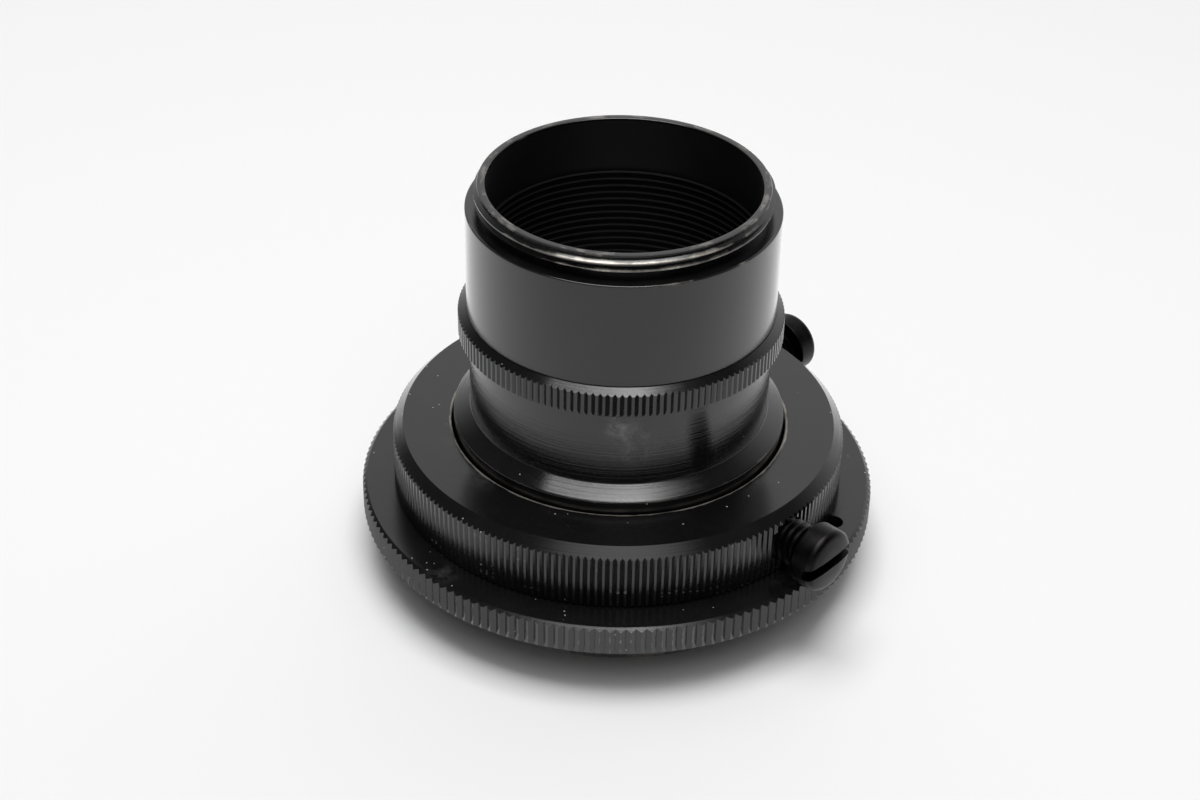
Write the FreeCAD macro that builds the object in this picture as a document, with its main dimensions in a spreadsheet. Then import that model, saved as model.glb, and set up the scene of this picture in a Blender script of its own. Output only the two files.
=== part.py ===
import FreeCAD, Part
import Sketcher
import math
import os
import re

# Microscope camera adapter.
# A knurled clamp body carries a camera bayonet below it. The dovetail foot of
# a short tube drops into the body and is held by two radial clamp screws, and
# a threaded barrel with a knurled lock collar stands on the tube.
# Millimetres. Z is the optical axis, and z = 0 is where the bayonet rests.

doc = FreeCAD.newDocument("camera_adapter")
sheet = doc.addObject("Spreadsheet::Sheet", "sizes")

SIZES = (
    # Bayonet mount: flange, tube and three lugs
    ("bayonet_depth", 6.4),
    ("bayonet_bore_radius", 23.0),
    ("bayonet_tube_radius", 25.3),
    ("lug_radius", 27.0),
    ("lug_height", 1.7),
    ("lug_count", 3),
    ("lug_sweep", 60),
    ("lug_start", 258),
    ("flange_radius", 30.0),
    ("flange_height", 1.5),
    ("flange_gap", 0.05),
    ("screw_gap", 0.03),
    ("head_gap", 0.06),
    ("tapping_spare", 0.3),
    ("stop_pin_radius", 0.75),
    ("stop_pin_length", 3.0),
    ("stop_pin_height", 4.1),
    ("stop_pin_proud", 1.5),
    # Small countersunk screws of the bayonet
    ("mount_screw_count", 4),
    ("mount_screw_circle", 28.3),
    ("mount_screw_turn", 45),
    ("mount_screw_radius", 0.8),
    ("mount_screw_head", 1.45),
    ("mount_screw_length", 3.4),
    # Camera ring with its coarse knurl
    ("ring_radius", 34.3),
    ("ring_height", 4.2),
    ("ring_chamfer", 0.62),
    ("ring_teeth", 166),
    ("ring_knurl_depth", 0.38),
    ("ring_bore_radius", 19.5),
    ("knurl_spare", 0.05),
    ("pin_hole_radius", 1.3),
    ("pin_hole_circle", 30.6),
    ("pin_hole_turn", 338.5),
    ("pin_hole_depth", 2.0),
    # Countersunk screws that hold the ring under the clamp body
    ("fixing_screw_count", 3),
    ("fixing_screw_circle", 26.6),
    ("fixing_screw_radius", 1.25),
    ("fixing_screw_head", 2.3),
    ("fixing_screw_length", 5.4),
    # Clamp body with its fine knurl
    ("body_radius", 30.0),
    ("body_height", 8.7),
    ("body_chamfer", 1.35),
    ("body_teeth", 205),
    ("body_knurl_depth", 0.3),
    ("body_bore_radius", 18.6),
    ("spigot_radius", 24.0),
    ("spigot_height", 1.2),
    ("spigot_gap", 0.05),
    ("seat_radius", 22.2),
    ("seat_depth", 7.8),
    # Clamp screws
    ("clamp_drop", 4.45),
    ("clamp_turn", 316.5),
    ("clamp_spread", 90),
    ("clamp_radius", 3.0),
    ("clamp_gap", 0.05),
    ("clamp_head_radius", 4.2),
    ("clamp_head_length", 3.4),
    ("clamp_head_chamfer", 0.4),
    ("clamp_reach", 37.1),
    ("clamp_tip_radius", 0.5),
    ("clamp_tip_gap", 0.25),
    ("clamp_slot_width", 1.6),
    ("clamp_slot_depth", 1.5),
    # Lower tube with its dovetail foot
    ("foot_radius", 21.9),
    ("foot_height", 9.6),
    ("foot_bevel", 0.95),
    ("land_gap", 0.08),
    ("groove_depth", 1.5),
    ("groove_flat", 0.6),
    ("tube_radius", 19.7),
    ("tube_height", 21.1),
    ("bore_radius", 17.4),
    ("socket_depth", 11.0),
    # Lock collar
    ("collar_radius", 21.1),
    ("collar_height", 4.35),
    ("collar_chamfer", 1.05),
    ("collar_chamfer_height", 0.75),
    ("collar_teeth", 147),
    ("collar_knurl_depth", 0.28),
    # Upper barrel: threaded stub, barrel and threaded nose
    ("joint_radius", 18.5),
    ("joint_gap", 0.05),
    ("stub_length", 12.4),
    ("barrel_radius", 20.0),
    ("barrel_height", 14.25),
    ("nose_radius", 18.9),
    ("nose_height", 3.2),
    ("nose_lead", 0.4),
    ("relief_radius", 18.2),
    ("relief_height", 0.9),
    ("mouth_depth", 5.2),
    ("baffle_radius", 17.8),
)
for row, (alias, number) in enumerate(SIZES, 1):
    sheet.set("A%d" % row, alias)
    sheet.set("B%d" % row, str(number))
    sheet.setAlias("B%d" % row, alias)
doc.recompute()

Z_UP = FreeCAD.Vector(0, 0, 1)


def size(alias):
    return float(sheet.get(alias))


def bind(thing, target, formula):
    """Ties a property to a formula of sheet names."""
    thing.setExpression(target, re.sub("[a-z][a-z_]+", r"sizes.\g<0>", formula))


def origin_plane(body, role):
    return [feature for feature in body.Origin.OriginFeatures if feature.Role == role][0]


def new_sketch(body, name, role):
    sketch = body.newObject("Sketcher::SketchObject", name)
    sketch.AttachmentSupport = (origin_plane(body, role), [""])
    sketch.MapMode = "FlatFace"
    return sketch


def draw(sketch, corners):
    """Draws a closed outline whose corners are pairs of formulas."""
    count = len(corners)
    for k in range(count):
        start = FreeCAD.Vector(1 + k, 1 + k * k, 0)
        following = (k + 1) % count
        end = FreeCAD.Vector(1 + following, 1 + following * following, 0)
        sketch.addGeometry(Part.LineSegment(start, end))
    for k in range(count):
        sketch.addConstraint(Sketcher.Constraint("Coincident", k, 2, (k + 1) % count, 1))
    for k, corner in enumerate(corners):
        for kind, axis, formula in zip(("DistanceX", "DistanceY"), (-2, -1), corner):
            if formula == "0":
                sketch.addConstraint(Sketcher.Constraint("PointOnObject", k, 1, axis))
            else:
                index = sketch.addConstraint(Sketcher.Constraint(kind, -1, 1, k, 1, 1.0 + k))
                bind(sketch, "Constraints[%d]" % index, formula)


def turned(name, corners):
    """A body turned about Z from an outline of (radius, height) corners."""
    body = doc.addObject("PartDesign::Body", name)
    sketch = new_sketch(body, name + "_outline", "XZ_Plane")
    draw(sketch, corners)
    turning = body.newObject("PartDesign::Revolution", name + "_turned")
    turning.Profile = sketch
    turning.ReferenceAxis = (sketch, ["V_Axis"])
    turning.Angle = 360
    doc.recompute()
    return body


def set_tip(body, feature, volume_before, adds=False):
    """Makes the feature the body's result once it is seen to cut or add."""
    body.Tip = feature
    doc.recompute()
    change = body.Shape.Volume - volume_before
    if (change > 0) != adds or change == 0:
        raise RuntimeError(feature.Name + " has no effect")


def patterned(body, feature, count, spread="360"):
    """Repeats a feature about Z, the first and last copy a full or part turn apart."""
    pattern = body.newObject("PartDesign::PolarPattern", feature.Name + "_pattern")
    pattern.Originals = [feature]
    pattern.Axis = (origin_plane(body, "Z_Axis"), [""])
    bind(pattern, "Angle", spread)
    bind(pattern, "Occurrences", count)
    return pattern


def drilled(body, name, circle, radius, turn="0", level="0", depth="", head=""):
    """A round hole up from a level, with a countersink where it has a head radius."""
    volume = body.Shape.Volume
    sketch = new_sketch(body, name + "_centre", "XY_Plane")
    sketch.AttachmentOffset = FreeCAD.Placement(FreeCAD.Vector(), FreeCAD.Rotation(Z_UP, 1))
    bind(sketch, "AttachmentOffset.Rotation.Angle", turn)
    bind(sketch, "AttachmentOffset.Base.z", level)
    sketch.addGeometry(Part.Circle(FreeCAD.Vector(1, 0, 0), Z_UP, 1))
    sketch.addConstraint(Sketcher.Constraint("PointOnObject", 0, 3, -1))
    place = sketch.addConstraint(Sketcher.Constraint("DistanceX", -1, 1, 0, 3, 1))
    bind(sketch, "Constraints[%d]" % place, circle)
    width = sketch.addConstraint(Sketcher.Constraint("Radius", 0, 1))
    bind(sketch, "Constraints[%d]" % width, radius)
    doc.recompute()
    if head:
        hole = body.newObject("PartDesign::Hole", name)
        hole.Profile = sketch
        hole.DepthType = "ThroughAll"
        hole.HoleCutType = "Countersink"
        hole.HoleCutCountersinkAngle = 90
        bind(hole, "Diameter", "2 * " + radius)
        bind(hole, "HoleCutDiameter", "2 * " + head)
    else:
        hole = body.newObject("PartDesign::Pocket", name)
        hole.Profile = sketch
        hole.Type = "Length" if depth else "ThroughAll"
        if depth:
            bind(hole, "Length", depth)
    hole.Reversed = True
    set_tip(body, hole, volume)
    return hole


def cross_drilled(body, name, height, radius, turn, reach):
    """A round hole from the axis outwards, square to it, as far as a radius."""
    volume = body.Shape.Volume
    sketch = new_sketch(body, name + "_centre", "YZ_Plane")
    about_z = FreeCAD.Rotation(FreeCAD.Vector(0, 1, 0), 1)
    sketch.AttachmentOffset = FreeCAD.Placement(FreeCAD.Vector(), about_z)
    bind(sketch, "AttachmentOffset.Rotation.Angle", turn)
    sketch.addGeometry(Part.Circle(FreeCAD.Vector(0, 1, 0), Z_UP, 1))
    sketch.addConstraint(Sketcher.Constraint("PointOnObject", 0, 3, -2))
    place = sketch.addConstraint(Sketcher.Constraint("DistanceY", -1, 1, 0, 3, 1))
    bind(sketch, "Constraints[%d]" % place, height)
    width = sketch.addConstraint(Sketcher.Constraint("Radius", 0, 1))
    bind(sketch, "Constraints[%d]" % width, radius)
    hole = body.newObject("PartDesign::Pocket", name)
    hole.Profile = sketch
    hole.Type = "Length"
    hole.Reversed = True
    bind(hole, "Length", reach)
    set_tip(body, hole, volume)
    return hole


def slotted(body, name, level, depth, width, reach):
    """A screwdriver slot up from a level, across the end of a screw."""
    volume = body.Shape.Volume
    sketch = new_sketch(body, name, "XY_Plane")
    bind(sketch, "AttachmentOffset.Base.z", level)
    for k in range(4):
        sketch.addGeometry(Part.LineSegment(FreeCAD.Vector(k, k * k, 0), FreeCAD.Vector(k + 1, k, 0)))
    for k in range(4):
        sketch.addConstraint(Sketcher.Constraint("Coincident", k, 2, (k + 1) % 4, 1))
    for k, kind in enumerate(("Horizontal", "Vertical", "Horizontal", "Vertical")):
        sketch.addConstraint(Sketcher.Constraint(kind, k))
    sketch.addConstraint(Sketcher.Constraint("Symmetric", 0, 1, 1, 2, -1, 1))
    long_side = sketch.addConstraint(Sketcher.Constraint("DistanceX", 0, 1, 0, 2, 1))
    bind(sketch, "Constraints[%d]" % long_side, reach)
    short_side = sketch.addConstraint(Sketcher.Constraint("DistanceY", 1, 1, 1, 2, 1))
    bind(sketch, "Constraints[%d]" % short_side, width)
    slot = body.newObject("PartDesign::Pocket", name + "_cut")
    slot.Profile = sketch
    slot.Type = "Length"
    slot.Reversed = True
    bind(slot, "Length", depth)
    set_tip(body, slot, volume)


def knurled(name, blank, teeth, crest, depth, rim_steps):
    """Straight V knurl on a chamfered rim, so that each tooth ends in a point.

    The rim steps are (radius, height) corners of the rim's outline. The rim
    is lofted with one flat to a tooth, so a chamfer leaves plane tooth ends.
    """
    points = []
    for k in range(2 * teeth):
        radius = crest - depth * (k % 2)
        angle = math.pi * k / teeth
        points.append(FreeCAD.Vector(radius * math.cos(angle), radius * math.sin(angle), 0))
    outline = doc.addObject("Part::Feature", name + "_outline")
    outline.Shape = Part.Face(Part.makePolygon(points + points[:1]))
    prism = doc.addObject("Part::Extrusion", name + "_teeth")
    prism.Base = outline
    prism.DirMode = "Custom"
    prism.Dir = Z_UP
    prism.Solid = True
    bind(prism, "LengthFwd", rim_steps[-1][1])
    flats = []
    for radius, level in rim_steps:
        flat = doc.addObject("Part::RegularPolygon", name + "_flats")
        flat.Polygon = teeth
        bind(flat, "Circumradius", radius)
        bind(flat, "Placement.Base.z", level)
        flats.append(flat)
    rim = doc.addObject("Part::Loft", name + "_rim")
    rim.Sections = flats
    rim.Solid = True
    rim.Ruled = True
    toothed = doc.addObject("Part::Common", name + "_toothed")
    toothed.Base = rim
    toothed.Tool = prism
    part = doc.addObject("Part::Common", name)
    part.Base = blank
    part.Tool = toothed
    doc.recompute()
    return part


nodes = []


def finished(part, name, level, turn="0"):
    """Names a finished piece and sets it at its height and turn on the axis."""
    part.Label = name
    part.Placement = FreeCAD.Placement(FreeCAD.Vector(), FreeCAD.Rotation(Z_UP, 1))
    bind(part, "Placement.Base.z", level)
    bind(part, "Placement.Rotation.Angle", turn)
    nodes.append(part)


def set_radially(part, name, turn, start, level, roll=0):
    """Names a finished piece and lays its own Z axis outwards along a radius."""
    part.Label = name
    angle = math.radians(turn)
    outwards = FreeCAD.Vector(math.cos(angle), math.sin(angle), 0)
    aim = FreeCAD.Rotation(Z_UP, outwards).multiply(FreeCAD.Rotation(Z_UP, roll))
    part.Placement = FreeCAD.Placement(start * outwards, aim)
    bind(part, "Placement.Base.z", level)
    nodes.append(part)


# Heights of the seats that the pieces stand on
ring_top = "bayonet_depth + ring_height"
body_top = ring_top + " + body_height"
tube_seat = body_top + " - seat_depth"
collar_seat = tube_seat + " + tube_height"
barrel_seat = collar_seat + " + collar_height"

# Bayonet mount: a flange let into the ring, and a tube with three lugs
bayonet = turned("bayonet_blank", (
    ("bayonet_bore_radius", "0"),
    ("bayonet_tube_radius", "0"),
    ("bayonet_tube_radius", "bayonet_depth"),
    ("flange_radius", "bayonet_depth"),
    ("flange_radius", "bayonet_depth + flange_height"),
    ("bayonet_bore_radius", "bayonet_depth + flange_height"),
))
blank_volume = bayonet.Shape.Volume
lug_outline = new_sketch(bayonet, "lug_outline", "XZ_Plane")
draw(lug_outline, (
    ("bayonet_bore_radius", "0"),
    ("lug_radius", "0"),
    ("lug_radius", "lug_height"),
    ("bayonet_bore_radius", "lug_height"),
))
lug = bayonet.newObject("PartDesign::Revolution", "lug")
lug.Profile = lug_outline
lug.ReferenceAxis = (lug_outline, ["V_Axis"])
bind(lug, "Angle", "lug_sweep")
set_tip(bayonet, lug, blank_volume, adds=True)
set_tip(bayonet, patterned(bayonet, lug, "lug_count"), bayonet.Shape.Volume, adds=True)
mount_hole = drilled(bayonet, "mount_hole", "mount_screw_circle",
                     "mount_screw_radius + screw_gap",
                     turn="360 + mount_screw_turn - lug_start", level="bayonet_depth",
                     head="mount_screw_head + head_gap")
set_tip(bayonet, patterned(bayonet, mount_hole, "mount_screw_count"), bayonet.Shape.Volume)
cross_drilled(bayonet, "stop_pin_hole", "stop_pin_height", "stop_pin_radius + screw_gap",
              "0", "lug_radius")
finished(bayonet, "bayonet_mount", "0", "lug_start")

# Stop pin: a short pin pressed into the bayonet tube above the first lug
pin = turned("stop_pin", (
    ("0", "0"),
    ("stop_pin_radius", "0"),
    ("stop_pin_radius", "stop_pin_length"),
    ("0", "stop_pin_length"),
))
pin_foot = size("bayonet_tube_radius") + size("stop_pin_proud") - size("stop_pin_length")
set_radially(pin, "bayonet_stop_pin", size("lug_start"), pin_foot, "stop_pin_height")

# Camera ring: the knurled hand ring between the bayonet and the clamp body,
# with a blind hole for the pin of a spanner
ring_blank = turned("ring_blank", (
    ("ring_bore_radius", "flange_height"),
    ("flange_radius + flange_gap", "flange_height"),
    ("flange_radius + flange_gap", "0"),
    ("ring_radius + knurl_spare", "0"),
    ("ring_radius + knurl_spare", "ring_height"),
    ("spigot_radius", "ring_height"),
    ("spigot_radius", "ring_height - spigot_height"),
    ("ring_bore_radius", "ring_height - spigot_height"),
))
fixing_hole = drilled(ring_blank, "fixing_hole", "fixing_screw_circle",
                      "fixing_screw_radius + screw_gap", level="flange_height",
                      head="fixing_screw_head + head_gap")
set_tip(ring_blank, patterned(ring_blank, fixing_hole, "fixing_screw_count"),
        ring_blank.Shape.Volume)
tapped_hole = drilled(ring_blank, "tapped_hole", "mount_screw_circle",
                      "mount_screw_radius + screw_gap", turn="mount_screw_turn",
                      level="0", depth="mount_screw_length + tapping_spare")
set_tip(ring_blank, patterned(ring_blank, tapped_hole, "mount_screw_count"),
        ring_blank.Shape.Volume)
drilled(ring_blank, "pin_hole", "pin_hole_circle", "pin_hole_radius", turn="pin_hole_turn",
        level="ring_height - pin_hole_depth", depth="pin_hole_depth")
ring_rim = (
    ("ring_radius - ring_chamfer", "0"),
    ("ring_radius + knurl_spare", "ring_chamfer + knurl_spare"),
    ("ring_radius + knurl_spare", "ring_height - ring_chamfer - knurl_spare"),
    ("ring_radius - ring_chamfer", "ring_height"),
)
ring = knurled("ring_knurled", ring_blank, int(size("ring_teeth")), size("ring_radius"),
               size("ring_knurl_depth"), ring_rim)
finished(ring, "camera_ring", "bayonet_depth")

# The fixing screws pass through the ring and go this far into the body
fixing_reach = "fixing_screw_length + flange_height - ring_height"

# Clamp body: spigot below, dovetail seat above, two tapped cross holes
body_blank = turned("body_blank", (
    ("body_bore_radius", "0"),
    ("spigot_radius - spigot_gap", "0"),
    ("spigot_radius - spigot_gap", "spigot_height"),
    ("body_radius + knurl_spare", "spigot_height"),
    ("body_radius + knurl_spare", "spigot_height + body_height"),
    ("seat_radius", "spigot_height + body_height"),
    ("seat_radius", "spigot_height + body_height - seat_depth"),
    ("body_bore_radius", "spigot_height + body_height - seat_depth"),
))
clamp_hole = cross_drilled(body_blank, "clamp_hole", "spigot_height + body_height - clamp_drop",
                           "clamp_radius + clamp_gap", "clamp_turn",
                           "body_radius + body_chamfer")
set_tip(body_blank, patterned(body_blank, clamp_hole, "2", "clamp_spread"),
        body_blank.Shape.Volume)
fixing_tapping = drilled(body_blank, "fixing_tapping", "fixing_screw_circle",
                         "fixing_screw_radius + screw_gap",
                         depth=fixing_reach + " + spigot_height + tapping_spare")
set_tip(body_blank, patterned(body_blank, fixing_tapping, "fixing_screw_count"),
        body_blank.Shape.Volume)
body_rim = (
    ("body_radius + knurl_spare", "0"),
    ("body_radius + knurl_spare", "spigot_height + body_height - body_chamfer - knurl_spare"),
    ("body_radius - body_chamfer", "spigot_height + body_height"),
)
clamp_body = knurled("body_knurled", body_blank, int(size("body_teeth")), size("body_radius"),
                     size("body_knurl_depth"), body_rim)
finished(clamp_body, "clamp_body", ring_top + " - spigot_height")


def ring_of_screws(name, count, circle, turn, level, radius, head, length):
    """Countersunk screws, head down, evenly spaced about the axis."""
    for k in range(int(size(count))):
        screw = turned("%s_blank_%d" % (name, k + 1), (
            ("0", "0"),
            (head, "0"),
            (radius, head + " - " + radius),
            (radius, length),
            ("0", length),
        ))
        screw.Label = "%s_%d" % (name, k + 1)
        angle = math.radians(turn + 360 / size(count) * k)
        place = FreeCAD.Vector(math.cos(angle), math.sin(angle), 0)
        screw.Placement.Base = size(circle) * place
        bind(screw, "Placement.Base.z", level)
        nodes.append(screw)


ring_of_screws("bayonet_screw", "mount_screw_count", "mount_screw_circle",
               size("mount_screw_turn"), "bayonet_depth", "mount_screw_radius",
               "mount_screw_head", "mount_screw_length")
ring_of_screws("fixing_screw", "fixing_screw_count", "fixing_screw_circle", 0,
               "bayonet_depth + flange_height", "fixing_screw_radius",
               "fixing_screw_head", "fixing_screw_length")

# Clamp screws: cheese heads, their cone points in the groove of the dovetail foot
tip_start = size("foot_radius") - size("groove_depth") + size("clamp_tip_gap")
clamp_length = "clamp_reach - foot_radius + groove_depth - clamp_tip_gap"
for name, step, roll in (("clamp_screw_front", 0, 50), ("clamp_screw_back", 1, 0)):
    screw = turned(name + "_blank", (
        ("0", "0"),
        ("clamp_tip_radius", "0"),
        ("clamp_radius", "clamp_radius - clamp_tip_radius"),
        ("clamp_radius", clamp_length + " - clamp_head_length"),
        ("clamp_head_radius", clamp_length + " - clamp_head_length"),
        ("clamp_head_radius", clamp_length + " - clamp_head_chamfer"),
        ("clamp_head_radius - clamp_head_chamfer", clamp_length),
        ("0", clamp_length),
    ))
    slotted(screw, name + "_slot", clamp_length + " - clamp_slot_depth",
            "2 * clamp_slot_depth", "clamp_slot_width", "3 * clamp_head_radius")
    set_radially(screw, name, size("clamp_turn") + step * size("clamp_spread"), tip_start,
                 body_top + " - clamp_drop", roll)

# Lower tube: the dovetail foot with its clamping groove, and a plain tube
groove_level = "seat_depth - clamp_drop"
groove_root = "foot_radius - groove_depth"
tube = turned("tube", (
    ("bore_radius", "0"),
    ("seat_radius - land_gap", "0"),
    ("seat_radius - land_gap",
     groove_level + " - groove_flat - seat_radius + land_gap + " + groove_root),
    (groove_root, groove_level + " - groove_flat"),
    (groove_root, groove_level + " + groove_flat"),
    ("foot_radius", groove_level + " + groove_flat + groove_depth"),
    ("foot_radius", "foot_height"),
    ("tube_radius", "foot_height + foot_bevel"),
    ("tube_radius", "tube_height"),
    ("joint_radius", "tube_height"),
    ("joint_radius", "tube_height - socket_depth"),
    ("bore_radius", "tube_height - socket_depth"),
))
finished(tube, "lower_tube", tube_seat)

# Lock collar: a knurled ring on the barrel's stub, tight on the tube's end
collar_blank = turned("collar_blank", (
    ("joint_radius", "0"),
    ("collar_radius + knurl_spare", "0"),
    ("collar_radius + knurl_spare", "collar_height"),
    ("joint_radius", "collar_height"),
))
chamfer_rise = "collar_chamfer_height * (1 + knurl_spare / collar_chamfer)"
collar_rim = (
    ("collar_radius - collar_chamfer", "0"),
    ("collar_radius + knurl_spare", chamfer_rise),
    ("collar_radius + knurl_spare", "collar_height - " + chamfer_rise),
    ("collar_radius - collar_chamfer", "collar_height"),
)
collar = knurled("collar_knurled", collar_blank, int(size("collar_teeth")),
                 size("collar_radius"), size("collar_knurl_depth"), collar_rim)
finished(collar, "lock_collar", collar_seat)

# Upper barrel: stub for the collar and tube, plain barrel, threaded nose
shoulder = "stub_length + barrel_height"
barrel = turned("barrel", (
    ("baffle_radius", "0"),
    ("joint_radius - joint_gap", "0"),
    ("joint_radius - joint_gap", "stub_length"),
    ("barrel_radius", "stub_length"),
    ("barrel_radius", shoulder),
    ("relief_radius", shoulder),
    ("relief_radius", shoulder + " + relief_height"),
    ("nose_radius", shoulder + " + relief_height"),
    ("nose_radius", shoulder + " + nose_height - nose_lead"),
    ("nose_radius - nose_lead", shoulder + " + nose_height"),
    ("bore_radius", shoulder + " + nose_height"),
    ("bore_radius", shoulder + " + nose_height - mouth_depth"),
    ("baffle_radius", shoulder + " + nose_height - mouth_depth"),
))
finished(barrel, "upper_barrel", barrel_seat + " - stub_length")

doc.recompute()
for thing in doc.Objects:
    if "Invalid" in thing.State or "Error" in thing.State:
        raise RuntimeError(thing.Name + " failed")
for part in nodes:
    if part.Shape.isNull() or not part.Shape.isValid():
        raise RuntimeError(part.Label + " has no valid shape")
os.makedirs("parts", exist_ok=True)
for part in nodes:
    part.Shape.exportStep("parts/%s.step" % part.Label)
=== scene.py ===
import math

import bmesh
import bpy
from mathutils import Matrix, Vector


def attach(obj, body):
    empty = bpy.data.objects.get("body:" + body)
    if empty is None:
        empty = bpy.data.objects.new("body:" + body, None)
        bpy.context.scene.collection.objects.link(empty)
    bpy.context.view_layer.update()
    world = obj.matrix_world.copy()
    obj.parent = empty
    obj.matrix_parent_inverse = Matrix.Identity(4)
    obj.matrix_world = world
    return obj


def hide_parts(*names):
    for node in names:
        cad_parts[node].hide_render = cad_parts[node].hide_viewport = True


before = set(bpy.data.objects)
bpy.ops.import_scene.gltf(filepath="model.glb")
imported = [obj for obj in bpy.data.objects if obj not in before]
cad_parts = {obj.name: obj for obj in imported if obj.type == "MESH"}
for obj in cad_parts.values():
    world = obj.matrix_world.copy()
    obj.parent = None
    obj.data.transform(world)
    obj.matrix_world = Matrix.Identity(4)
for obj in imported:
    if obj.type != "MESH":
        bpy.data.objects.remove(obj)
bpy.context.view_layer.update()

# Camera
# A long lens looks 34 degrees down at the adapter and leans a little to one
# side. The lens and the place were solved from the round edges in the photo.
lens = bpy.data.cameras.new("camera")
lens.sensor_width = 36
lens.lens = 67.06
camera = bpy.data.objects.new("camera", lens)
bpy.context.collection.objects.link(camera)
camera.location = (-0.00249, -0.2460, 0.1876)
lean = Matrix.Rotation(math.radians(1.19), 4, "Z")
camera.rotation_euler = (Matrix.Rotation(math.radians(90 - 34.02), 4, "X") @ lean).to_euler()
bpy.context.scene.camera = camera
bpy.context.scene.view_settings.view_transform = "Standard"


# Bayonet mount
# A turned aluminium flange and tube with three locking lugs, dyed black and
# rubbed at the lugs. Small screws hold it in the underside of the camera ring.
def srgb(code):
    """A hex colour as linear red, green, blue and alpha."""
    parts = [int(code[k:k + 2], 16) / 255 for k in (1, 3, 5)]
    return [c / 12.92 if c <= 0.04045 else ((c + 0.055) / 1.055) ** 2.4 for c in parts] + [1]


def add(tree, kind, settings, inputs):
    """Adds a shader node with its settings. An input is a value or a (node, output) pair."""
    made = tree.nodes.new("ShaderNode" + kind)
    for name, value in settings.items():
        setattr(made, name, value)
    for socket, value in inputs.items():
        if isinstance(value, tuple) and isinstance(value[0], bpy.types.Node):
            tree.links.new(value[0].outputs[value[1]], made.inputs[socket])
        else:
            made.inputs[socket].default_value = value
    return made


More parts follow.
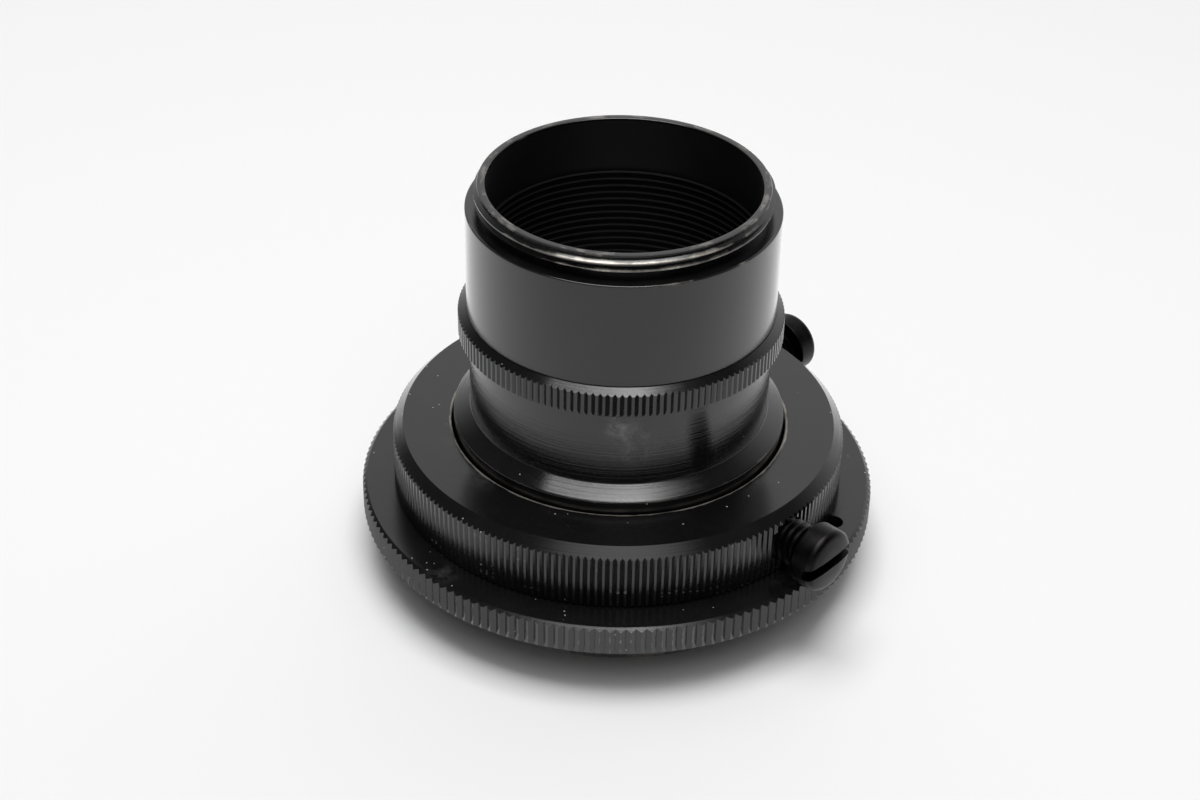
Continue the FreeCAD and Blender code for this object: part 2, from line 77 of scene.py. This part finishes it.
def black_anodised(name, colour, haze, worn_and_glinting, roughness, grooves, dust, scuffs=()):
    """Aluminium that was turned, then anodised and dyed black.

    The eye gets a dark satin skin whose tool marks run round the part and draw
    reflections out across them, faint grey haze, a few specks of dust, scuffs
    at (x, y, height, reach, strength) in mm, and bare metal where the vertex
    attribute is high, which on the barrel's thread crest is a painted highlight.
    """
    material = bpy.data.materials.new(name)
    material.use_nodes = True
    tree = material.node_tree
    shader = tree.nodes["Principled BSDF"]
    place = add(tree, "TexCoord", {}, {})
    in_mm = add(tree, "VectorMath", {"operation": "SCALE"},
                {0: (place, "Object"), "Scale": 1000})
    axes = add(tree, "SeparateXYZ", {}, {0: (in_mm, 0)})
    flat = add(tree, "CombineXYZ", {}, {0: (axes, 0), 1: (axes, 1)})
    radius = add(tree, "VectorMath", {"operation": "LENGTH"}, {0: (flat, 0)})
    # Tool marks: the feed of the lathe was near 0.1 mm, drawn at about 0.25 mm to show
    profile = add(tree, "CombineXYZ", {}, {0: (radius, "Value"), 1: (axes, 2)})
    marks = add(tree, "TexNoise", {"noise_dimensions": "2D"},
                {"Vector": (profile, 0), "Scale": 4.0, "Detail": 3.0, "Roughness": 0.7})
    # Haze: patches of a few millimetres where the dye is a little lighter
    patches = add(tree, "TexNoise", {},
                  {"Vector": (in_mm, 0), "Scale": 0.16, "Detail": 5.0, "Roughness": 0.6})
    grain = add(tree, "TexNoise", {},
                {"Vector": (in_mm, 0), "Scale": 3.2, "Detail": 2.0, "Roughness": 0.6})
    hazed = add(tree, "MapRange", {}, {0: (patches, 0), 1: 0.42, 2: 0.72, 3: 0.0, 4: 1.0})
    speckled = add(tree, "Math", {"operation": "MULTIPLY"}, {0: (hazed, 0), 1: (grain, 0)})
    dyed = add(tree, "Mix", {"data_type": "RGBA"},
               {0: (speckled, 0), 6: srgb(colour), 7: srgb(haze)})
    # Scuffs: places a few millimetres across that were rubbed to a whitish bloom
    for x, y, height, reach, strength in scuffs:
        away = add(tree, "VectorMath", {"operation": "DISTANCE"},
                   {0: (in_mm, 0), 1: (x, y, height)})
        near = add(tree, "MapRange", {"interpolation_type": "SMOOTHSTEP"},
                   {0: (away, "Value"), 1: 0.1 * reach, 2: reach, 3: strength, 4: 0.0})
        streaks = add(tree, "TexNoise", {},
                      {"Vector": (in_mm, 0), "Scale": 0.55, "Detail": 8.0, "Roughness": 0.72})
        broken = add(tree, "MapRange", {}, {0: (streaks, 0), 1: 0.42, 2: 0.75, 3: 0.0, 4: 1.0})
        bloom = add(tree, "Math", {"operation": "MULTIPLY"}, {0: (near, 0), 1: (broken, 0)})
        dyed = add(tree, "Mix", {"data_type": "RGBA"},
                   {0: (bloom, 0), 6: (dyed, 2), 7: srgb("#77787b")})
    # Dust: pale grains of 0.1 to 0.2 mm, in loose groups
    grains = add(tree, "TexVoronoi", {}, {"Vector": (in_mm, 0), "Scale": 1.3})
    groups = add(tree, "TexNoise", {}, {"Vector": (in_mm, 0), "Scale": 0.14, "Detail": 1.0})
    share = add(tree, "MapRange", {}, {0: (groups, 0), 1: 0.38, 2: 0.62, 3: 1.0, 4: 1.0 - dust})
    chosen = add(tree, "Math", {"operation": "GREATER_THAN"},
                 {0: (grains, "Color"), 1: (share, 0)})
    close = add(tree, "Math", {"operation": "LESS_THAN"}, {0: (grains, "Distance"), 1: 0.13})
    dusty = add(tree, "Math", {"operation": "MULTIPLY"}, {0: (chosen, 0), 1: (close, 0)})
    dusted = add(tree, "Mix", {"data_type": "RGBA"},
                 {0: (dusty, 0), 6: (dyed, 2), 7: srgb("#a39a8c")})
    # Wear: the dye is rubbed off along crests and rims, in stretches that run round the part; on
    # the barrel's thread crest the same mark is a painted highlight
    rubbed_and_glinting = add(tree, "Attribute", {"attribute_name": "wear"}, {})
    heading = add(tree, "VectorMath", {"operation": "NORMALIZE"}, {0: (flat, 0)})
    ladder = add(tree, "Math", {"operation": "ADD"}, {0: (axes, 2), 1: (radius, "Value")})
    rise = add(tree, "CombineXYZ", {}, {2: (ladder, 0)})
    drawn_out = add(tree, "VectorMath", {"operation": "MULTIPLY_ADD"},
                    {0: (heading, 0), 1: (6.0, 6.0, 6.0), 2: (rise, 0)})
    breaks = add(tree, "TexNoise", {},
                 {"Vector": (drawn_out, 0), "Scale": 0.8, "Detail": 6.0, "Roughness": 0.6})
    level = add(tree, "MapRange", {}, {0: (breaks, 0), 1: 0.3, 2: 0.7, 3: -0.4, 4: 0.4})
    edge = add(tree, "Math", {"operation": "ADD"}, {0: (rubbed_and_glinting, "Fac"), 1: (level, 0)})
    bare = add(tree, "MapRange", {}, {0: (edge, 0), 1: 0.5, 2: 1.2, 3: 0.0, 4: worn_and_glinting})
    skin = add(tree, "Mix", {"data_type": "RGBA"},
               {0: (bare, 0), 6: (dusted, 2), 7: srgb("#c9c2b8")})
    tree.links.new(skin.outputs[2], shader.inputs["Base Color"])
    tree.links.new(bare.outputs[0], shader.inputs["Metallic"])
    satin = add(tree, "MapRange", {},
                {0: (grain, 0), 1: 0.3, 2: 0.7, 3: roughness - 0.03, 4: roughness + 0.04})
    gloss = add(tree, "Math", {"operation": "MULTIPLY_ADD"},
                {0: (bare, 0), 1: 0.25, 2: (satin, 0)})
    tree.links.new(gloss.outputs[0], shader.inputs["Roughness"])
    shader.inputs["IOR"].default_value = 1.55
    shader.inputs["Anisotropic"].default_value = 0.6
    shader.inputs["Anisotropic Rotation"].default_value = 0.25
    round_part = add(tree, "Tangent", {"direction_type": "RADIAL", "axis": "Z"}, {})
    tree.links.new(round_part.outputs[0], shader.inputs["Tangent"])
    # The marks are up to 0.025 mm deep here, deeper than real ones, so that they show
    relief = add(tree, "Bump", {}, {"Strength": grooves, "Distance": 0.000025,
                                    "Height": (marks, 0)})
    lint = add(tree, "Bump", {}, {"Strength": 0.4, "Distance": 0.00004,
                                  "Height": (dusty, 0), "Normal": (relief, 0)})
    tree.links.new(lint.outputs[0], shader.inputs["Normal"])
    return material


def turned(outline, steps):
    """Spins a closed outline about Z. A corner is (radius, height, rounding) in mm."""
    bm = bmesh.new()
    corners = [bm.verts.new((radius, 0, height)) for radius, height, _ in outline]
    bm.faces.new(corners)
    for corner, (_, _, rounding) in zip(corners, outline):
        if rounding:
            bmesh.ops.bevel(bm, geom=[corner], offset=rounding, offset_type="OFFSET",
                            segments=3, profile=0.5, affect="VERTICES", material=-1)
    bmesh.ops.delete(bm, geom=bm.faces[:], context="FACES_ONLY")
    bmesh.ops.spin(bm, geom=bm.verts[:] + bm.edges[:], cent=(0, 0, 0), axis=(0, 0, 1),
                   dvec=(0, 0, 0), angle=math.tau, steps=steps, use_merge=True,
                   use_duplicate=False)
    bmesh.ops.remove_doubles(bm, verts=bm.verts[:], dist=0.0001)
    bmesh.ops.recalc_face_normals(bm, faces=bm.faces[:])
    return bm


def as_object(name, bm):
    mesh = bpy.data.meshes.new(name)
    bm.to_mesh(mesh)
    bm.free()
    thing = bpy.data.objects.new(name, mesh)
    bpy.context.collection.objects.link(thing)
    return thing


def cut_away(bm, cutter):
    """Takes the cutter's shape out of a mesh."""
    thing = as_object("blank", bm)
    tool = as_object("tool", cutter)
    modifier = thing.modifiers.new("cut", "BOOLEAN")
    modifier.object = tool
    shaped = bpy.data.meshes.new_from_object(
        thing.evaluated_get(bpy.context.evaluated_depsgraph_get()))
    bm = bmesh.new()
    bm.from_mesh(shaped)
    for spare in (thing, tool):
        bpy.data.objects.remove(spare)
    bpy.data.meshes.remove(shaped)
    return bm


def finished(name, bm, node, body, finish, *materials):
    """Makes the piece that stands for a CAD node, from a mesh in millimetres."""
    bmesh.ops.scale(bm, vec=(0.001, 0.001, 0.001), verts=bm.verts[:])
    thing = as_object(name, bm)
    thing.data.shade_smooth()
    thing.data.set_sharp_from_angle(angle=math.radians(34))
    # Wide faces keep their own normals, so only the rounded edges shade round
    weighted = thing.modifiers.new("weighted normals", "WEIGHTED_NORMAL")
    weighted.keep_sharp = True
    for material in materials:
        thing.data.materials.append(material)
    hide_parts(node)
    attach(thing, body)
    return thing


def about_axis(angle):
    return Matrix.Rotation(math.radians(angle), 4, "Z")


mount = turned([(23.0, 0, 0.15), (25.3, 0, 0.15), (25.3, 6.4, 0), (30.0, 6.4, 0.1),
                (30.0, 7.9, 0), (23.0, 7.9, 0)], 240)
lug_radius = 27.0
lug_height = 1.7
for start in (258, 18, 138):
    corners = [mount.verts.new(about_axis(start) @ Vector(corner))
               for corner in ((24.0, 0, 0), (lug_radius, 0, 0), (lug_radius, 0, lug_height),
                              (24.0, 0, lug_height))]
    lug_end = mount.faces.new(corners)
    bmesh.ops.spin(mount, geom=[lug_end], cent=(0, 0, 0), axis=(0, 0, 1), dvec=(0, 0, 0),
                   angle=math.radians(60), steps=40, use_duplicate=False)
    bmesh.ops.holes_fill(mount, edges=mount.edges[:], sides=4)
bmesh.ops.recalc_face_normals(mount, faces=mount.faces[:])
worn_and_glinting = mount.verts.layers.float.new("wear")
for v in mount.verts:
    if abs(math.hypot(v.co.x, v.co.y) - lug_radius) < 0.1:
        v[worn_and_glinting] = 0.6
flange_screw_circle = 28.3
sinks = bmesh.new()
for k in range(4):
    spot = about_axis(45 + 90 * k) @ Matrix.Translation((flange_screw_circle, 0, 6.7))
    bmesh.ops.create_cone(sinks, cap_ends=True, segments=32, radius1=1.6, radius2=0.83,
                          depth=0.77, matrix=spot)
mount = cut_away(mount, sinks)
hidden_black = black_anodised("black anodised aluminium, camera side",
                              "#0b0b0c", "#1c1c1e", 0.5, 0.24, 0.3, 0.05)
finished("bayonet_flange_and_lugs", mount, "bayonet_mount", "clamp_body_group",
         "black_anodised_aluminium", hidden_black)


# Stop pin and small screws
# A ground steel pin is pressed into the bayonet's tube. The countersunk screws
# are blackened steel, each with a straight slot across its flat head.
def steel(name, colour, light, roughness):
    """Steel with a fine turned finish.

    Blackening leaves it nearly matt and dark, a little lighter in patches and
    at its edges. Ground steel is bright, with the same fine marks.
    """
    material = bpy.data.materials.new(name)
    material.use_nodes = True
    tree = material.node_tree
    shader = tree.nodes["Principled BSDF"]
    place = add(tree, "TexCoord", {}, {})
    in_mm = add(tree, "VectorMath", {"operation": "SCALE"},
                {0: (place, "Object"), "Scale": 1000})
    patches = add(tree, "TexNoise", {},
                  {"Vector": (in_mm, 0), "Scale": 0.9, "Detail": 6.0, "Roughness": 0.65})
    rubbed_and_glinting = add(tree, "Attribute", {"attribute_name": "wear"}, {})
    patchy = add(tree, "MapRange", {}, {0: (patches, 0), 1: 0.35, 2: 0.75, 3: 0.0, 4: 0.5})
    both = add(tree, "Math", {"operation": "MULTIPLY_ADD", "use_clamp": True},
               {0: (rubbed_and_glinting, "Fac"), 1: 0.8, 2: (patchy, 0)})
    skin = add(tree, "Mix", {"data_type": "RGBA"},
               {0: (both, 0), 6: srgb(colour), 7: srgb(light)})
    tree.links.new(skin.outputs[2], shader.inputs["Base Color"])
    shader.inputs["Metallic"].default_value = 1.0
    gloss = add(tree, "MapRange", {},
                {0: (patches, 0), 1: 0.3, 2: 0.7, 3: roughness - 0.06, 4: roughness + 0.08})
    tree.links.new(gloss.outputs[0], shader.inputs["Roughness"])
    fine = add(tree, "TexNoise", {},
               {"Vector": (in_mm, 0), "Scale": 7.0, "Detail": 2.0, "Roughness": 0.6})
    relief = add(tree, "Bump", {}, {"Strength": 0.25, "Distance": 0.00002, "Height": (fine, 0)})
    tree.links.new(relief.outputs[0], shader.inputs["Normal"])
    return material


ground_steel = steel("ground steel", "#a9a9aa", "#d0d0d0", 0.25)
blackened_steel = steel("blackened steel", "#333335", "#77746f", 0.42)
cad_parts["bayonet_stop_pin"].material_slots[0].material = ground_steel
for k in range(1, 4):
    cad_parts["fixing_screw_%d" % k].material_slots[0].material = blackened_steel
for k in range(4):
    screw = turned([(0, 6.4, 0), (1.45, 6.4, 0.05), (0.8, 7.05, 0), (0.8, 9.8, 0.1),
                    (0, 9.8, 0)], 32)
    slot = bmesh.new()
    bmesh.ops.create_cube(slot, size=1, matrix=Matrix.Translation((0, 0, 6.4))
                          @ about_axis(25 + 70 * k) @ Matrix.Diagonal((4, 0.4, 0.8, 1)))
    screw = cut_away(screw, slot)
    spot = about_axis(45 + 90 * k) @ Matrix.Translation((flange_screw_circle, 0, 0))
    bmesh.ops.transform(screw, verts=screw.verts[:], matrix=spot)
    finished("slotted_flange_screw_%d" % (k + 1), screw, "bayonet_screw_%d" % (k + 1),
             "clamp_body_group", "blackened_steel", blackened_steel)


# Camera ring
# The hand ring that turns with the camera: turned aluminium with a coarse
# straight knurl, chamfered at both edges, and a blind hole for a spanner's pin.
def knurl(bm, crest, depth, teeth, land, slope, wear):
    """Sinks V grooves into a rim, between lands that are a share of the pitch wide.

    The rim's end corners slide along their chamfers, which rise by the slope
    for each unit of radius.
    """
    worn_and_glinting = bm.verts.layers.float.new("wear")
    rim = [v for v in bm.verts if math.hypot(v.co.x, v.co.y) > crest - 0.001]
    low = min(v.co.z for v in rim)
    high = max(v.co.z for v in rim)
    for v in rim:
        turn = math.atan2(v.co.y, v.co.x) * teeth / math.tau
        off_crest = max(0.0, 2 * abs(turn - round(turn)) - land) / (1 - land)
        v[worn_and_glinting] = max(0.0, 1 - 3 * off_crest) * wear
        sunk = depth * off_crest
        if v.co.z > high - 0.001:
            v.co.z += slope * sunk
        elif v.co.z < low + 0.001:
            v.co.z -= slope * sunk
        v.co.xy *= 1 - sunk / crest


ring = turned([(19.5, 7.9, 0), (30.05, 7.9, 0), (30.05, 6.4, 0), (33.72, 6.4, 0), (34.3, 6.82, 0),
               (34.3, 7.0, 0), (34.3, 10.0, 0), (34.3, 10.18, 0), (33.72, 10.6, 0),
               (24.0, 10.6, 0), (24.0, 9.4, 0), (19.5, 9.4, 0)], 166 * 6)
knurl(ring, 34.3, 0.38, 166, 0.0, 0.72, 0.6)
pin_hole = bmesh.new()
bmesh.ops.create_cone(pin_hole, cap_ends=True, segments=40, radius1=1.3, radius2=1.3, depth=4,
                      matrix=about_axis(338.5) @ Matrix.Translation((30.6, 0, 10.6)))
ring = cut_away(ring, pin_hole)
ring_black = black_anodised("black anodised aluminium, camera ring",
                            "#0b0b0c", "#161617", 0.5, 0.17, 0.4, 0.28,
                            ((-22.2, -23.8, 10.6, 3.0, 0.25), (22.5, -23.0, 10.6, 4.0, 0.15)))
finished("knurled_camera_ring", ring, "camera_ring", "clamp_body_group",
         "black_anodised_aluminium", ring_black)


# Clamp body
# The middle ring: turned aluminium with a fine straight knurl and a wide
# chamfer. The tube's foot drops in from above, and two tapped holes cross it.
body = turned([(18.6, 9.4, 0), (23.95, 9.4, 0), (23.95, 10.6, 0), (29.7, 10.6, 0), (30.0, 10.9, 0),
               (30.0, 11.05, 0), (30.0, 17.8, 0), (30.0, 17.95, 0), (29.6, 18.35, 0),
               (28.65, 19.3, 0), (22.75, 19.3, 0), (22.2, 19.3, 0.2), (22.2, 18.8, 0),
               (22.2, 11.5, 0), (18.6, 11.5, 0)], 205 * 6)
knurl(body, 30.0, 0.3, 205, 0.3, 1.0, 0.35)


def rub(bm, radius, height, rounding, amount):
    """Marks a rounded rim as worn. The next corners beside it end the wear."""
    worn_and_glinting = bm.verts.layers.float.get("wear") or bm.verts.layers.float.new("wear")
    for v in bm.verts:
        off = math.hypot(math.hypot(v.co.x, v.co.y) - radius, v.co.z - height)
        if off < 1.05 * rounding:
            v[worn_and_glinting] = amount


rub(body, 22.2, 19.3, 0.2, 1.0)
front_side = -43.5
back_side = 46.5
screw_height = 14.85
along_x = Matrix.Rotation(math.pi / 2, 4, "Y")
cross_holes = bmesh.new()
for side in (front_side, back_side):
    spot = about_axis(side) @ Matrix.Translation((26, 0, screw_height)) @ along_x
    bmesh.ops.create_cone(cross_holes, cap_ends=True, segments=48, radius1=3.05, radius2=3.05,
                          depth=12, matrix=spot)
body = cut_away(body, cross_holes)
body_black = black_anodised("black anodised aluminium, clamp body",
                            "#0b0b0c", "#161617", 0.7, 0.17, 0.4, 0.2,
                            ((-17.0, -14.5, 19.3, 4.5, 0.16), (-21.0, -8.0, 19.3, 4.0, 0.12),
                             (17.5, -14.5, 19.3, 4.5, 0.14)))
finished("knurled_clamp_body", body, "clamp_body", "clamp_body_group",
         "black_anodised_aluminium", body_black)


# Clamp screws
# Two steel screws with cheese heads and slots, an M6 thread and a cone point.
# They reach in through the body and press the tube's foot down.
def black_steel(name, colour, light, roughness):
    """Steel with a hot black oxide, oiled: a smooth near black skin with a soft shine.

    The skin is a little thinner on the edges, which look lighter, and fine
    turning marks and handling haze show in the shine.
    """
    material = bpy.data.materials.new(name)
    material.use_nodes = True
    tree = material.node_tree
    shader = tree.nodes["Principled BSDF"]
    place = add(tree, "TexCoord", {}, {})
    in_mm = add(tree, "VectorMath", {"operation": "SCALE"},
                {0: (place, "Object"), "Scale": 1000})
    patches = add(tree, "TexNoise", {},
                  {"Vector": (in_mm, 0), "Scale": 0.45, "Detail": 5.0, "Roughness": 0.6})
    thin = add(tree, "MapRange", {}, {0: (patches, 0), 1: 0.42, 2: 0.75, 3: 0.0, 4: 0.6})
    rubbed_and_glinting = add(tree, "Attribute", {"attribute_name": "wear"}, {})
    lighter = add(tree, "Math", {"operation": "MULTIPLY_ADD", "use_clamp": True},
                  {0: (rubbed_and_glinting, "Fac"), 1: 0.5, 2: (thin, 0)})
    skin = add(tree, "Mix", {"data_type": "RGBA"},
               {0: (lighter, 0), 6: srgb(colour), 7: srgb(light)})
    tree.links.new(skin.outputs[2], shader.inputs["Base Color"])
    gloss = add(tree, "MapRange", {},
                {0: (patches, 0), 1: 0.3, 2: 0.7, 3: roughness - 0.05, 4: roughness + 0.07})
    tree.links.new(gloss.outputs[0], shader.inputs["Roughness"])
    shader.inputs["Metallic"].default_value = 1.0
    fine = add(tree, "TexNoise", {},
               {"Vector": (in_mm, 0), "Scale": 6.0, "Detail": 2.0, "Roughness": 0.6})
    relief = add(tree, "Bump", {}, {"Strength": 0.2, "Distance": 0.00002, "Height": (fine, 0)})
    tree.links.new(relief.outputs[0], shader.inputs["Normal"])
    return material


def thread(bm, root, crest, pitch, bottom, turns, start, steps, wear):
    """Winds a right-hand thread about Z, with ends that run out into the shaft.

    Its crest is made lighter bare metal, most towards the piece's own -Y. On the barrel -Y is the
    side towards the camera, so there the bright crest is a painted highlight.
    """
    half = pitch * 0.42
    flat = pitch * 0.08
    corners = [bm.verts.new(about_axis(start) @ Vector(corner))
               for corner in ((root - 0.1, 0, bottom - half), (crest, 0, bottom - flat),
                              (crest, 0, bottom + flat), (root - 0.1, 0, bottom + half))]
    ridge = bm.faces.new(corners)
    before = set(bm.verts) - set(corners)
    bmesh.ops.spin(bm, geom=[ridge], cent=(0, 0, 0), axis=(0, 0, 1),
                   dvec=(0, 0, pitch / steps), angle=math.tau * turns,
                   steps=int(steps * turns), use_duplicate=False)
    wound = [v for v in bm.verts if v not in before]
    bmesh.ops.holes_fill(bm, edges=[e for e in bm.edges if e.is_boundary], sides=4)
    worn_and_glinting = bm.verts.layers.float.get("wear") or bm.verts.layers.float.new("wear")
    for v in wound:
        reach = math.hypot(v.co.x, v.co.y)
        if reach > crest - 0.001:
            along = (v.co.z - bottom) / pitch / turns
            # Bare crest weighted towards -Y: on the barrel this is a painted highlight on the
            # camera side
            v[worn_and_glinting] = wear * (0.55 + 0.45 * along) * max(0.0, -v.co.y / reach) ** 1.5
            fade = min(1.0, max(0.0, along) * 8 * turns, max(0.0, 1 - along) * 8 * turns)
            v.co.xy *= (root - 0.05 + (crest - root + 0.05) * fade) / crest


screw_black = black_steel("black oxide steel, clamp screws", "#171718", "#2c2a29", 0.4)
for side, roll, name in ((front_side, 50, "front"), (back_side, 0, "back")):
    screw = turned([(0, 0, 0), (0.5, 0, 0.1), (2.45, 1.95, 0), (2.45, 13.05, 0),
                    (4.2, 13.05, 0.2), (4.2, 15.3, 0), (4.2, 15.75, 0.3), (3.7, 16.2, 0.35),
                    (2.0, 16.4, 0.4), (0, 16.45, 0)], 96)
    rub(screw, 4.2, 15.75, 0.3, 1.0)
    slot = bmesh.new()
    bmesh.ops.create_cube(slot, size=1, matrix=Matrix.Translation((0, 0, 16.45))
                          @ Matrix.Diagonal((12, 1.6, 3.0, 1)))
    screw = cut_away(screw, slot)
    thread(screw, 2.45, 2.98, 1.0, 2.6, 10.2, 0, 48, 0.3)
    bmesh.ops.recalc_face_normals(screw, faces=screw.faces[:])
    outwards = about_axis(side) @ Vector((1, 0, 0))
    aim = Vector((0, 0, 1)).rotation_difference(outwards).to_matrix().to_4x4()
    bmesh.ops.transform(screw, verts=screw.verts[:], matrix=Matrix.Translation(
        20.65 * outwards + Vector((0, 0, screw_height))) @ aim @ about_axis(roll))
    finished("slotted_clamp_screw_" + name, screw, "clamp_screw_" + name, "screw_" + name,
             "blackened_steel", screw_black)


# Lower tube
# A short aluminium tube, turned in one with its wide foot. The foot has a
# groove for the screw points, and the bore has fine ridges against stray light.
def light_ridges(top, bottom):
    """Baffle ridges of 1 mm pitch down a bore, as outline corners."""
    corners = []
    level = top
    while level > bottom + 1.0:
        corners += [(17.78, level + 0.06, 0), (17.44, level, 0), (17.44, level - 0.1, 0),
                    (17.78, level - 0.3, 0)]
        level -= 1.0
    return corners


def blacken_bore(bm, radius, height):
    """Gives the bore below a height its own material."""
    for face in bm.faces:
        centre = face.calc_center_median()
        if math.hypot(centre.x, centre.y) < radius and centre.z < height:
            face.material_index = 1


tube = turned([(17.4, 11.5, 0), (22.12, 11.5, 0.1), (22.12, 12.28, 0.1), (20.4, 14.0, 0),
               (20.4, 15.2, 0), (21.9, 16.7, 0.1), (21.9, 20.5, 0),
               (21.9, 20.85, 0.12), (21.55, 21.065, 0), (19.7, 22.2, 0.1),
               (19.7, 32.6, 0.1), (18.5, 32.6, 0), (18.5, 21.6, 0), (17.4, 21.6, 0)]
              + light_ridges(21.1, 11.6), 288)
rub(tube, 21.9, 20.85, 0.12, 0.5)
blacken_bore(tube, 17.9, 21.0)
tube_black = black_anodised("black anodised aluminium, lower tube",
                            "#0b0b0c", "#1b1b1d", 0.3, 0.15, 0.8, 0.12,
                            ((0.0, -19.7, 30.8, 2.6, 0.9), (1.8, -19.6, 28.2, 5.0, 0.4)))
bore_black = black_anodised("matt black anodised bore", "#151516", "#1b1b1c", 0.0, 0.45, 0.2, 0.0)
bore_black.node_tree.nodes["Principled BSDF"].inputs["Specular IOR Level"].default_value = 0.17
finished("turned_lower_tube", tube, "lower_tube", "tube", "black_anodised_aluminium",
         tube_black, bore_black)


# Lock collar
# A narrow knurled ring that is screwed down on the barrel's thread against the
# tube, so that the barrel's height stays where it is set.
collar = turned([(18.5, 32.6, 0), (20.05, 32.6, 0), (21.1, 33.35, 0), (21.1, 33.5, 0),
                 (21.1, 36.05, 0), (21.1, 36.2, 0), (20.7, 36.486, 0), (20.05, 36.95, 0),
                 (18.5, 36.95, 0)], 147 * 6)
knurl(collar, 21.1, 0.32, 147, 0.3, 0.714, 0.35)
collar_black = black_anodised("black anodised aluminium, lock collar",
                              "#0b0b0c", "#161617", 0.5, 0.17, 0.4, 0.15)
finished("knurled_lock_collar", collar, "lock_collar", "collar", "black_anodised_aluminium",
         collar_black)


# Upper barrel
# A plain turned barrel with a short threaded nose above a relief, a smooth
# mouth, and light ridges down its bore. Its hidden stub carries the collar.
barrel = turned([(17.8, 24.55, 0), (18.45, 24.55, 0.1), (18.45, 36.95, 0), (20.0, 36.95, 0.15),
                 (20.0, 50.8, 0), (20.0, 51.2, 0.15), (19.6, 51.2, 0), (18.2, 51.2, 0),
                 (18.2, 52.1, 0), (18.3, 52.3, 0), (18.3, 53.95, 0), (18.5, 54.4, 0.2),
                 (18.1, 54.4, 0), (17.8, 54.4, 0), (17.4, 54.4, 0.15), (17.4, 54.1, 0),
                 (17.4, 49.2, 0)]
                + light_ridges(46.4, 24.6), 288)
rub(barrel, 20.0, 51.2, 0.15, 0.3)
rub(barrel, 18.5, 54.4, 0.2, 0.4)
rub(barrel, 17.95, 54.4, 0.2, 0.5)
rub(barrel, 17.4, 54.4, 0.15, 0.35)
blacken_bore(barrel, 17.9, 54.12)
# The nose thread's bright crest on the camera side is a painted highlight
thread(barrel, 18.3, 18.88, 1.0, 52.35, 1.55, -175, 144, 1.25)
bmesh.ops.recalc_face_normals(barrel, faces=barrel.faces[:])
barrel_black = black_anodised("black anodised aluminium, upper barrel",
                              "#0b0b0c", "#161617", 0.7, 0.16, 0.5, 0.1)
finished("turned_upper_barrel", barrel, "upper_barrel", "barrel", "black_anodised_aluminium",
         barrel_black, bore_black)


# Floor, lamp and surroundings
# A seamless pale sweep and one soft box above. Seen only in reflections, the floor glows with
# painted light that grows towards its back.
# The floor shows white to the camera and keeps the adapter's soft shadow.
bpy.ops.mesh.primitive_plane_add(size=3, location=(0, 0, 0))
floor = bpy.context.object
floor.name = "floor"
paper = bpy.data.materials.new("matt white paper sweep with painted glow")
paper.use_nodes = True
tree = paper.node_tree
shader = tree.nodes["Principled BSDF"]
shader.inputs["Base Color"].default_value = srgb("#e6e6e6")
shader.inputs["Roughness"].default_value = 0.9
shader.inputs["Specular IOR Level"].default_value = 0.1
paths = add(tree, "LightPath", {}, {})
place = add(tree, "TexCoord", {}, {})
axes = add(tree, "SeparateXYZ", {}, {0: (place, "Object")})
# Painted light: the floor emits for glossy rays only, weakly at the front and strongly at the back
glow_towards_back = add(tree, "MapRange", {}, {0: (axes, 1), 1: -0.08, 2: 0.08, 3: 0.08, 4: 0.6})
painted_reflected_glow = add(tree, "Math", {"operation": "MULTIPLY"}, {0: (paths, "Is Glossy Ray"), 1: (glow_towards_back, 0)})
shader.inputs["Emission Color"].default_value = (1, 1, 1, 1)
tree.links.new(painted_reflected_glow.outputs[0], shader.inputs["Emission Strength"])
floor.data.materials.append(paper)

world = bpy.data.worlds.new("dim studio with a white backdrop")
bpy.context.scene.world = world
world.use_nodes = True
tree = world.node_tree
background = tree.nodes["Background"]
heading = add(tree, "TexCoord", {}, {})
towards = add(tree, "VectorMath", {"operation": "DOT_PRODUCT"},
              {0: (heading, "Generated"), 1: (0.25, 1.0, 0.0)})
backdrop = add(tree, "MapRange", {"interpolation_type": "SMOOTHSTEP"},
               {0: (towards, "Value"), 1: 0.3, 2: 0.9, 3: 0.08, 4: 0.95})
spill = add(tree, "VectorMath", {"operation": "DOT_PRODUCT"},
            {0: (heading, "Generated"), 1: (0.03, -0.45, 0.893)})
ceiling = add(tree, "MapRange", {"interpolation_type": "SMOOTHSTEP"},
              {0: (spill, "Value"), 1: 0.85, 2: 0.99, 3: 0.0, 4: 1.7})
walls = add(tree, "Math", {"operation": "MAXIMUM"}, {0: (backdrop, 0), 1: (ceiling, 0)})
paths = add(tree, "LightPath", {}, {})
clear = add(tree, "Math", {"operation": "MAXIMUM"},
            {0: (paths, "Is Camera Ray"), 1: (paths, "Is Transmission Ray")})
strength = add(tree, "Math", {"operation": "MAXIMUM"}, {0: (clear, 0), 1: (walls, 0)})
tree.links.new(strength.outputs[0], background.inputs["Strength"])
background.inputs["Color"].default_value = (1, 1, 1, 1)

lamp = bpy.data.lights.new("soft box overhead", "AREA")
lamp.shape = "RECTANGLE"
lamp.size = 0.5
lamp.size_y = 0.56
lamp.energy = 5.7
soft_box = bpy.data.objects.new("soft box overhead", lamp)
bpy.context.collection.objects.link(soft_box)
soft_box.location = (-0.02, 0.01, 0.8)
aim = (Vector((0, 0, 0.02)) - soft_box.location).to_track_quat("-Z", "Y")
soft_box.rotation_euler = aim.to_euler()
